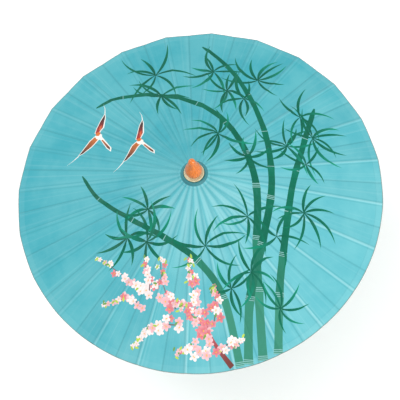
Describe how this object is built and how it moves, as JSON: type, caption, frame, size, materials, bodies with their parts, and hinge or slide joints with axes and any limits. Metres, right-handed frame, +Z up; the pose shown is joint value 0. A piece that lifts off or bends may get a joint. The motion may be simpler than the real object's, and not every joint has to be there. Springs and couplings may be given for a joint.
{
  "type": "oil paper umbrella",
  "caption": "Folding parasol with a painted oiled-paper canopy on bamboo ribs and stretchers, a sliding runner, a spring catch, a turned finial and a round grip.",
  "frame": {"origin": "middle of the straight grip, on the shaft's axis", "axes": "+Z up the shaft from the grip to the finial; -Y is the side of the catch"},
  "size_m": [0.84, 0.84, 0.5828],
  "materials": {
    "paper": "oiled paper, turquoise, painted, semi-gloss",
    "bamboo": "split bamboo, matte",
    "shaft_bamboo": "smoothed bamboo, satin",
    "hub_wood": "pale turned wood, matte",
    "grip_wood": "turned wood, varnished",
    "finial_wood": "turned wood, orange-brown gloss varnish",
    "cord": "twisted cotton cord",
    "thread": "waxed cotton thread",
    "pin_steel": "drawn steel"
  },
  "bodies": {
    "stick": {"shaft": "shaft_bamboo", "handle": "grip_wood", "upper_hub": "hub_wood", "finial": "finial_wood", "crown_paper": "paper", "canopy": "paper", "canopy_cords": "cord", "hub_thread": "thread", "shaft_pins": "pin_steel"},
    "runner": {"runner": "hub_wood", "runner_thread": "thread"},
    "catch": {"catch": "pin_steel"},
    "rib_01": {"rib_01": "bamboo"},
    "stretcher_01": {"stretcher_01": "bamboo"},
    "rib_02": {"rib_02": "bamboo"},
    "stretcher_02": {"stretcher_02": "bamboo"},
    "rib_03": {"rib_03": "bamboo"},
    "stretcher_03": {"stretcher_03": "bamboo"},
    "rib_04": {"rib_04": "bamboo"},
    "stretcher_04": {"stretcher_04": "bamboo"},
    "rib_05": {"rib_05": "bamboo"},
    "stretcher_05": {"stretcher_05": "bamboo"},
    "rib_06": {"rib_06": "bamboo"},
    "stretcher_06": {"stretcher_06": "bamboo"},
    "rib_07": {"rib_07": "bamboo"},
    "stretcher_07": {"stretcher_07": "bamboo"},
    "rib_08": {"rib_08": "bamboo"},
    "stretcher_08": {"stretcher_08": "bamboo"},
    "rib_09": {"rib_09": "bamboo"},
    "stretcher_09": {"stretcher_09": "bamboo"},
    "rib_10": {"rib_10": "bamboo"},
    "stretcher_10": {"stretcher_10": "bamboo"},
    "rib_11": {"rib_11": "bamboo"},
    "stretcher_11": {"stretcher_11": "bamboo"},
    "rib_12": {"rib_12": "bamboo"},
    "stretcher_12": {"stretcher_12": "bamboo"},
    "rib_13": {"rib_13": "bamboo"},
    "stretcher_13": {"stretcher_13": "bamboo"},
    "rib_14": {"rib_14": "bamboo"},
    "stretcher_14": {"stretcher_14": "bamboo"},
    "rib_15": {"rib_15": "bamboo"},
    "stretcher_15": {"stretcher_15": "bamboo"},
    "rib_16": {"rib_16": "bamboo"},
    "stretcher_16": {"stretcher_16": "bamboo"},
    "rib_17": {"rib_17": "bamboo"},
    "stretcher_17": {"stretcher_17": "bamboo"},
    "rib_18": {"rib_18": "bamboo"},
    "stretcher_18": {"stretcher_18": "bamboo"},
    "rib_19": {"rib_19": "bamboo"},
    "stretcher_19": {"stretcher_19": "bamboo"},
    "rib_20": {"rib_20": "bamboo"},
    "stretcher_20": {"stretcher_20": "bamboo"},
    "rib_21": {"rib_21": "bamboo"},
    "stretcher_21": {"stretcher_21": "bamboo"},
    "rib_22": {"rib_22": "bamboo"},
    "stretcher_22": {"stretcher_22": "bamboo"},
    "rib_23": {"rib_23": "bamboo"},
    "stretcher_23": {"stretcher_23": "bamboo"},
    "rib_24": {"rib_24": "bamboo"},
    "stretcher_24": {"stretcher_24": "bamboo"}
  },
  "joints": [
    {"name": "runner_slide", "type": "slide", "parent": "stick", "child": "runner", "axis": [0, 0, -1], "range_m": [0, 0.22944], "deforming": ["canopy", "canopy_cords", "runner_thread"]},
    {"name": "catch_press", "type": "hinge", "parent": "stick", "child": "catch", "pos_m": [0, -0.0045, 0.26729], "axis": [-1, 0, 0], "range_deg": [0, 8], "stiffness_Nm_per_rad": 0.6},
    {"name": "rib_01_fold", "type": "hinge", "parent": "stick", "child": "rib_01", "pos_m": [0.022, 0, 0.4518], "axis": [0, 1, 0], "range_deg": [0, 66]},
    {"name": "stretcher_01_fold", "type": "hinge", "parent": "rib_01", "child": "stretcher_01", "pos_m": [0.18645, 0, 0.39194], "axis": [0, -1, 0], "range_deg": [0, 132]},
    {"name": "rib_02_fold", "type": "hinge", "parent": "stick", "child": "rib_02", "pos_m": [0.02125, 0.00569, 0.4518], "axis": [-0.2588, 0.9659, 0], "range_deg": [0, 66]},
    {"name": "stretcher_02_fold", "type": "hinge", "parent": "rib_02", "child": "stretcher_02", "pos_m": [0.18009, 0.04826, 0.39194], "axis": [0.2588, -0.9659, 0], "range_deg": [0, 132]},
    {"name": "rib_03_fold", "type": "hinge", "parent": "stick", "child": "rib_03", "pos_m": [0.01905, 0.011, 0.4518], "axis": [-0.5, 0.866, 0], "range_deg": [0, 66]},
    {"name": "stretcher_03_fold", "type": "hinge", "parent": "rib_03", "child": "stretcher_03", "pos_m": [0.16147, 0.09322, 0.39194], "axis": [0.5, -0.866, 0], "range_deg": [0, 132]},
    {"name": "rib_04_fold", "type": "hinge", "parent": "stick", "child": "rib_04", "pos_m": [0.01556, 0.01556, 0.4518], "axis": [-0.7071, 0.7071, 0], "range_deg": [0, 66]},
    {"name": "stretcher_04_fold", "type": "hinge", "parent": "rib_04", "child": "stretcher_04", "pos_m": [0.13184, 0.13184, 0.39194], "axis": [0.7071, -0.7071, 0], "range_deg": [0, 132]},
    {"name": "rib_05_fold", "type": "hinge", "parent": "stick", "child": "rib_05", "pos_m": [0.011, 0.01905, 0.4518], "axis": [-0.866, 0.5, 0], "range_deg": [0, 66]},
    {"name": "stretcher_05_fold", "type": "hinge", "parent": "rib_05", "child": "stretcher_05", "pos_m": [0.09322, 0.16147, 0.39194], "axis": [0.866, -0.5, 0], "range_deg": [0, 132]},
    {"name": "rib_06_fold", "type": "hinge", "parent": "stick", "child": "rib_06", "pos_m": [0.00569, 0.02125, 0.4518], "axis": [-0.9659, 0.2588, 0], "range_deg": [0, 66]},
    {"name": "stretcher_06_fold", "type": "hinge", "parent": "rib_06", "child": "stretcher_06", "pos_m": [0.04826, 0.18009, 0.39194], "axis": [0.9659, -0.2588, 0], "range_deg": [0, 132]},
    {"name": "rib_07_fold", "type": "hinge", "parent": "stick", "child": "rib_07", "pos_m": [0, 0.022, 0.4518], "axis": [-1, 0, 0], "range_deg": [0, 66]},
    {"name": "stretcher_07_fold", "type": "hinge", "parent": "rib_07", "child": "stretcher_07", "pos_m": [0, 0.18645, 0.39194], "axis": [1, 0, 0], "range_deg": [0, 132]},
    {"name": "rib_08_fold", "type": "hinge", "parent": "stick", "child": "rib_08", "pos_m": [-0.00569, 0.02125, 0.4518], "axis": [-0.9659, -0.2588, 0], "range_deg": [0, 66]},
    {"name": "stretcher_08_fold", "type": "hinge", "parent": "rib_08", "child": "stretcher_08", "pos_m": [-0.04826, 0.18009, 0.39194], "axis": [0.9659, 0.2588, 0], "range_deg": [0, 132]},
    {"name": "rib_09_fold", "type": "hinge", "parent": "stick", "child": "rib_09", "pos_m": [-0.011, 0.01905, 0.4518], "axis": [-0.866, -0.5, 0], "range_deg": [0, 66]},
    {"name": "stretcher_09_fold", "type": "hinge", "parent": "rib_09", "child": "stretcher_09", "pos_m": [-0.09322, 0.16147, 0.39194], "axis": [0.866, 0.5, 0], "range_deg": [0, 132]},
    {"name": "rib_10_fold", "type": "hinge", "parent": "stick", "child": "rib_10", "pos_m": [-0.01556, 0.01556, 0.4518], "axis": [-0.7071, -0.7071, 0], "range_deg": [0, 66]},
    {"name": "stretcher_10_fold", "type": "hinge", "parent": "rib_10", "child": "stretcher_10", "pos_m": [-0.13184, 0.13184, 0.39194], "axis": [0.7071, 0.7071, 0], "range_deg": [0, 132]},
    {"name": "rib_11_fold", "type": "hinge", "parent": "stick", "child": "rib_11", "pos_m": [-0.01905, 0.011, 0.4518], "axis": [-0.5, -0.866, 0], "range_deg": [0, 66]},
    {"name": "stretcher_11_fold", "type": "hinge", "parent": "rib_11", "child": "stretcher_11", "pos_m": [-0.16147, 0.09322, 0.39194], "axis": [0.5, 0.866, 0], "range_deg": [0, 132]},
    {"name": "rib_12_fold", "type": "hinge", "parent": "stick", "child": "rib_12", "pos_m": [-0.02125, 0.00569, 0.4518], "axis": [-0.2588, -0.9659, 0], "range_deg": [0, 66]},
    {"name": "stretcher_12_fold", "type": "hinge", "parent": "rib_12", "child": "stretcher_12", "pos_m": [-0.18009, 0.04826, 0.39194], "axis": [0.2588, 0.9659, 0], "range_deg": [0, 132]},
    {"name": "rib_13_fold", "type": "hinge", "parent": "stick", "child": "rib_13", "pos_m": [-0.022, 0, 0.4518], "axis": [0, -1, 0], "range_deg": [0, 66]},
    {"name": "stretcher_13_fold", "type": "hinge", "parent": "rib_13", "child": "stretcher_13", "pos_m": [-0.18645, 0, 0.39194], "axis": [0, 1, 0], "range_deg": [0, 132]},
    {"name": "rib_14_fold", "type": "hinge", "parent": "stick", "child": "rib_14", "pos_m": [-0.02125, -0.00569, 0.4518], "axis": [0.2588, -0.9659, 0], "range_deg": [0, 66]},
    {"name": "stretcher_14_fold", "type": "hinge", "parent": "rib_14", "child": "stretcher_14", "pos_m": [-0.18009, -0.04826, 0.39194], "axis": [-0.2588, 0.9659, 0], "range_deg": [0, 132]},
    {"name": "rib_15_fold", "type": "hinge", "parent": "stick", "child": "rib_15", "pos_m": [-0.01905, -0.011, 0.4518], "axis": [0.5, -0.866, 0], "range_deg": [0, 66]},
    {"name": "stretcher_15_fold", "type": "hinge", "parent": "rib_15", "child": "stretcher_15", "pos_m": [-0.16147, -0.09322, 0.39194], "axis": [-0.5, 0.866, 0], "range_deg": [0, 132]},
    {"name": "rib_16_fold", "type": "hinge", "parent": "stick", "child": "rib_16", "pos_m": [-0.01556, -0.01556, 0.4518], "axis": [0.7071, -0.7071, 0], "range_deg": [0, 66]},
    {"name": "stretcher_16_fold", "type": "hinge", "parent": "rib_16", "child": "stretcher_16", "pos_m": [-0.13184, -0.13184, 0.39194], "axis": [-0.7071, 0.7071, 0], "range_deg": [0, 132]},
    {"name": "rib_17_fold", "type": "hinge", "parent": "stick", "child": "rib_17", "pos_m": [-0.011, -0.01905, 0.4518], "axis": [0.866, -0.5, 0], "range_deg": [0, 66]},
    {"name": "stretcher_17_fold", "type": "hinge", "parent": "rib_17", "child": "stretcher_17", "pos_m": [-0.09322, -0.16147, 0.39194], "axis": [-0.866, 0.5, 0], "range_deg": [0, 132]},
    {"name": "rib_18_fold", "type": "hinge", "parent": "stick", "child": "rib_18", "pos_m": [-0.00569, -0.02125, 0.4518], "axis": [0.9659, -0.2588, 0], "range_deg": [0, 66]},
    {"name": "stretcher_18_fold", "type": "hinge", "parent": "rib_18", "child": "stretcher_18", "pos_m": [-0.04826, -0.18009, 0.39194], "axis": [-0.9659, 0.2588, 0], "range_deg": [0, 132]},
    {"name": "rib_19_fold", "type": "hinge", "parent": "stick", "child": "rib_19", "pos_m": [0, -0.022, 0.4518], "axis": [1, 0, 0], "range_deg": [0, 66]},
    {"name": "stretcher_19_fold", "type": "hinge", "parent": "rib_19", "child": "stretcher_19", "pos_m": [0, -0.18645, 0.39194], "axis": [-1, 0, 0], "range_deg": [0, 132]},
    {"name": "rib_20_fold", "type": "hinge", "parent": "stick", "child": "rib_20", "pos_m": [0.00569, -0.02125, 0.4518], "axis": [0.9659, 0.2588, 0], "range_deg": [0, 66]},
    {"name": "stretcher_20_fold", "type": "hinge", "parent": "rib_20", "child": "stretcher_20", "pos_m": [0.04826, -0.18009, 0.39194], "axis": [-0.9659, -0.2588, 0], "range_deg": [0, 132]},
    {"name": "rib_21_fold", "type": "hinge", "parent": "stick", "child": "rib_21", "pos_m": [0.011, -0.01905, 0.4518], "axis": [0.866, 0.5, 0], "range_deg": [0, 66]},
    {"name": "stretcher_21_fold", "type": "hinge", "parent": "rib_21", "child": "stretcher_21", "pos_m": [0.09322, -0.16147, 0.39194], "axis": [-0.866, -0.5, 0], "range_deg": [0, 132]},
    {"name": "rib_22_fold", "type": "hinge", "parent": "stick", "child": "rib_22", "pos_m": [0.01556, -0.01556, 0.4518], "axis": [0.7071, 0.7071, 0], "range_deg": [0, 66]},
    {"name": "stretcher_22_fold", "type": "hinge", "parent": "rib_22", "child": "stretcher_22", "pos_m": [0.13184, -0.13184, 0.39194], "axis": [-0.7071, -0.7071, 0], "range_deg": [0, 132]},
    {"name": "rib_23_fold", "type": "hinge", "parent": "stick", "child": "rib_23", "pos_m": [0.01905, -0.011, 0.4518], "axis": [0.5, 0.866, 0], "range_deg": [0, 66]},
    {"name": "stretcher_23_fold", "type": "hinge", "parent": "rib_23", "child": "stretcher_23", "pos_m": [0.16147, -0.09322, 0.39194], "axis": [-0.5, -0.866, 0], "range_deg": [0, 132]},
    {"name": "rib_24_fold", "type": "hinge", "parent": "stick", "child": "rib_24", "pos_m": [0.02125, -0.00569, 0.4518], "axis": [0.2588, 0.9659, 0], "range_deg": [0, 66]},
    {"name": "stretcher_24_fold", "type": "hinge", "parent": "rib_24", "child": "stretcher_24", "pos_m": [0.18009, -0.04826, 0.39194], "axis": [-0.2588, -0.9659, 0], "range_deg": [0, 132]}
  ],
  "couplings": [
    {"joint": "rib_01_fold", "follows": "runner_slide", "rad_per_m": 5.0205},
    {"joint": "stretcher_01_fold", "follows": "runner_slide", "rad_per_m": 10.041},
    {"joint": "rib_02_fold", "follows": "runner_slide", "rad_per_m": 5.0205},
    {"joint": "stretcher_02_fold", "follows": "runner_slide", "rad_per_m": 10.041},
    {"joint": "rib_03_fold", "follows": "runner_slide", "rad_per_m": 5.0205},
    {"joint": "stretcher_03_fold", "follows": "runner_slide", "rad_per_m": 10.041},
    {"joint": "rib_04_fold", "follows": "runner_slide", "rad_per_m": 5.0205},
    {"joint": "stretcher_04_fold", "follows": "runner_slide", "rad_per_m": 10.041},
    {"joint": "rib_05_fold", "follows": "runner_slide", "rad_per_m": 5.0205},
    {"joint": "stretcher_05_fold", "follows": "runner_slide", "rad_per_m": 10.041},
    {"joint": "rib_06_fold", "follows": "runner_slide", "rad_per_m": 5.0205},
    {"joint": "stretcher_06_fold", "follows": "runner_slide", "rad_per_m": 10.041},
    {"joint": "rib_07_fold", "follows": "runner_slide", "rad_per_m": 5.0205},
    {"joint": "stretcher_07_fold", "follows": "runner_slide", "rad_per_m": 10.041},
    {"joint": "rib_08_fold", "follows": "runner_slide", "rad_per_m": 5.0205},
    {"joint": "stretcher_08_fold", "follows": "runner_slide", "rad_per_m": 10.041},
    {"joint": "rib_09_fold", "follows": "runner_slide", "rad_per_m": 5.0205},
    {"joint": "stretcher_09_fold", "follows": "runner_slide", "rad_per_m": 10.041},
    {"joint": "rib_10_fold", "follows": "runner_slide", "rad_per_m": 5.0205},
    {"joint": "stretcher_10_fold", "follows": "runner_slide", "rad_per_m": 10.041},
    {"joint": "rib_11_fold", "follows": "runner_slide", "rad_per_m": 5.0205},
    {"joint": "stretcher_11_fold", "follows": "runner_slide", "rad_per_m": 10.041},
    {"joint": "rib_12_fold", "follows": "runner_slide", "rad_per_m": 5.0205},
    {"joint": "stretcher_12_fold", "follows": "runner_slide", "rad_per_m": 10.041},
    {"joint": "rib_13_fold", "follows": "runner_slide", "rad_per_m": 5.0205},
    {"joint": "stretcher_13_fold", "follows": "runner_slide", "rad_per_m": 10.041},
    {"joint": "rib_14_fold", "follows": "runner_slide", "rad_per_m": 5.0205},
    {"joint": "stretcher_14_fold", "follows": "runner_slide", "rad_per_m": 10.041},
    {"joint": "rib_15_fold", "follows": "runner_slide", "rad_per_m": 5.0205},
    {"joint": "stretcher_15_fold", "follows": "runner_slide", "rad_per_m": 10.041},
    {"joint": "rib_16_fold", "follows": "runner_slide", "rad_per_m": 5.0205},
    {"joint": "stretcher_16_fold", "follows": "runner_slide", "rad_per_m": 10.041},
    {"joint": "rib_17_fold", "follows": "runner_slide", "rad_per_m": 5.0205},
    {"joint": "stretcher_17_fold", "follows": "runner_slide", "rad_per_m": 10.041},
    {"joint": "rib_18_fold", "follows": "runner_slide", "rad_per_m": 5.0205},
    {"joint": "stretcher_18_fold", "follows": "runner_slide", "rad_per_m": 10.041},
    {"joint": "rib_19_fold", "follows": "runner_slide", "rad_per_m": 5.0205},
    {"joint": "stretcher_19_fold", "follows": "runner_slide", "rad_per_m": 10.041},
    {"joint": "rib_20_fold", "follows": "runner_slide", "rad_per_m": 5.0205},
    {"joint": "stretcher_20_fold", "follows": "runner_slide", "rad_per_m": 10.041},
    {"joint": "rib_21_fold", "follows": "runner_slide", "rad_per_m": 5.0205},
    {"joint": "stretcher_21_fold", "follows": "runner_slide", "rad_per_m": 10.041},
    {"joint": "rib_22_fold", "follows": "runner_slide", "rad_per_m": 5.0205},
    {"joint": "stretcher_22_fold", "follows": "runner_slide", "rad_per_m": 10.041},
    {"joint": "rib_23_fold", "follows": "runner_slide", "rad_per_m": 5.0205},
    {"joint": "stretcher_23_fold", "follows": "runner_slide", "rad_per_m": 10.041},
    {"joint": "rib_24_fold", "follows": "runner_slide", "rad_per_m": 5.0205},
    {"joint": "stretcher_24_fold", "follows": "runner_slide", "rad_per_m": 10.041}
  ]
}
